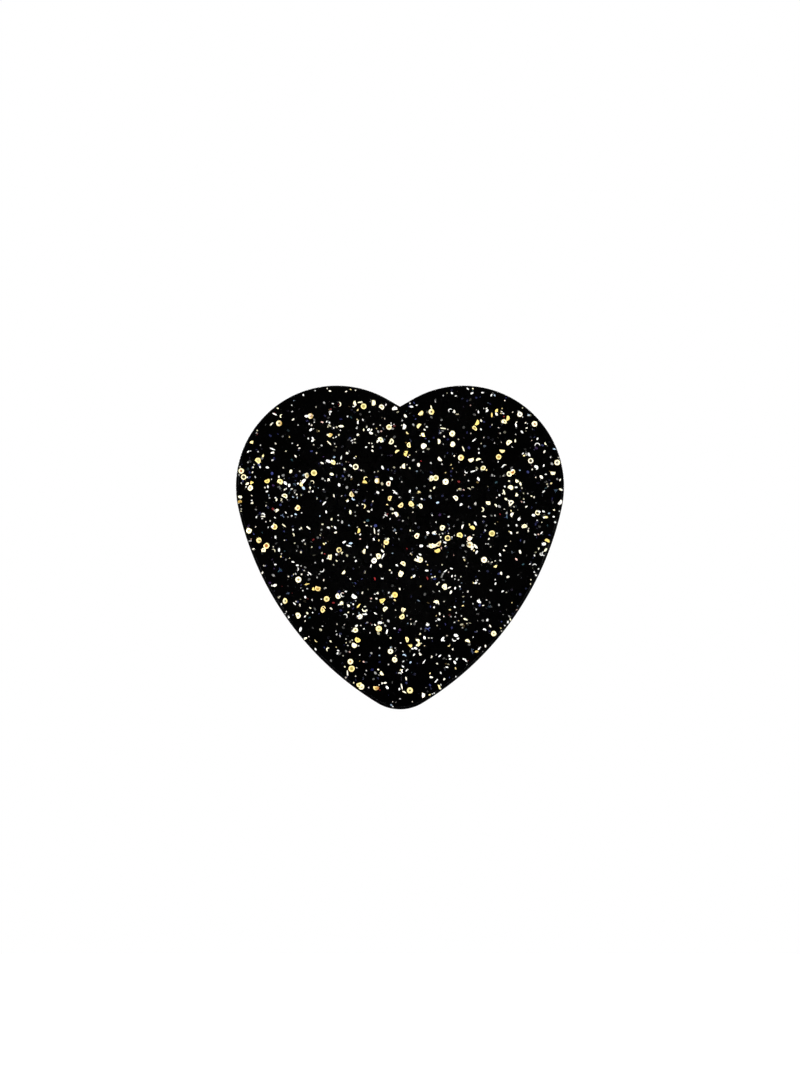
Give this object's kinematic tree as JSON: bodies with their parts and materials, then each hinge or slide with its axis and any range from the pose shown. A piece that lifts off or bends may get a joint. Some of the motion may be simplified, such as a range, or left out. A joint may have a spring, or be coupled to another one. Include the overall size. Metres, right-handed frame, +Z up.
{
  "type": "enamel pin",
  "caption": "Heart-shaped glitter pin: black die-cast plate, glitter under a clear domed coat, and posts at the back with butterfly clutches that slide off.",
  "frame": {"origin": "middle of the heart's width and height, on the plate's flat back face", "axes": "+X across the heart, to the right as seen from its face; +Y out of the back, along the posts; +Z up the heart, from its tip to its notch"},
  "size_m": [0.032, 0.0113, 0.0316],
  "materials": {
    "black_nickel": "black nickel plating over cast zinc, glossy on the rim and finely blasted on the back",
    "black_enamel": "gloss black enamel",
    "glitter": "mixed cut glitter flakes, pale gold, silver and a few orange and blue, set in black resin",
    "clear_epoxy": "clear glossy epoxy",
    "post_steel": "bright nickel-plated steel with fine turning marks",
    "solder": "dull tin solder, slightly lumpy",
    "clutch_brass": "bright stamped brass with fine drawing marks",
    "spring_steel": "bright drawn spring wire"
  },
  "bodies": {
    "pin": {"base_plate": "black_nickel", "enamel_fill": "black_enamel", "glitter_layer": "glitter", "epoxy_dome": "clear_epoxy", "left_post": "post_steel", "left_solder_ring": "solder", "right_post": "post_steel", "right_solder_ring": "solder"},
    "left_clutch": {"left_clutch_cap": "clutch_brass", "left_clutch_inner_cup": "clutch_brass", "left_clutch_jaw_spring": "spring_steel"},
    "left_upper_wing": {"left_clutch_upper_wing": "clutch_brass"},
    "left_lower_wing": {"left_clutch_lower_wing": "clutch_brass"},
    "right_clutch": {"right_clutch_cap": "clutch_brass", "right_clutch_inner_cup": "clutch_brass", "right_clutch_jaw_spring": "spring_steel"},
    "right_upper_wing": {"right_clutch_upper_wing": "clutch_brass"},
    "right_lower_wing": {"right_clutch_lower_wing": "clutch_brass"}
  },
  "joints": [
    {"name": "left_clutch_slide", "type": "slide", "parent": "pin", "child": "left_clutch", "axis": [0, 1, 0], "range_m": [-0.0019, 0.012]},
    {"name": "left_upper_wing_pivot", "type": "hinge", "parent": "left_clutch", "child": "left_upper_wing", "pos_m": [-0.0075, 0.00363, 0.00367], "axis": [-1, 0, 0], "range_deg": [0, 12], "stiffness_Nm_per_rad": 0.01, "deforming": ["left_clutch_jaw_spring"]},
    {"name": "left_lower_wing_pivot", "type": "hinge", "parent": "left_clutch", "child": "left_lower_wing", "pos_m": [-0.0075, 0.00363, 0.00032], "axis": [1, 0, 0], "range_deg": [0, 12], "stiffness_Nm_per_rad": 0.01},
    {"name": "right_clutch_slide", "type": "slide", "parent": "pin", "child": "right_clutch", "axis": [0, 1, 0], "range_m": [-0.0019, 0.012]},
    {"name": "right_upper_wing_pivot", "type": "hinge", "parent": "right_clutch", "child": "right_upper_wing", "pos_m": [0.0075, 0.00363, 0.00367], "axis": [-1, 0, 0], "range_deg": [0, 12], "stiffness_Nm_per_rad": 0.01, "deforming": ["right_clutch_jaw_spring"]},
    {"name": "right_lower_wing_pivot", "type": "hinge", "parent": "right_clutch", "child": "right_lower_wing", "pos_m": [0.0075, 0.00363, 0.00032], "axis": [1, 0, 0], "range_deg": [0, 12], "stiffness_Nm_per_rad": 0.01}
  ],
  "couplings": [
    {"joint": "left_lower_wing_pivot", "follows": "left_upper_wing_pivot", "ratio": 1},
    {"joint": "right_lower_wing_pivot", "follows": "right_upper_wing_pivot", "ratio": 1}
  ]
}
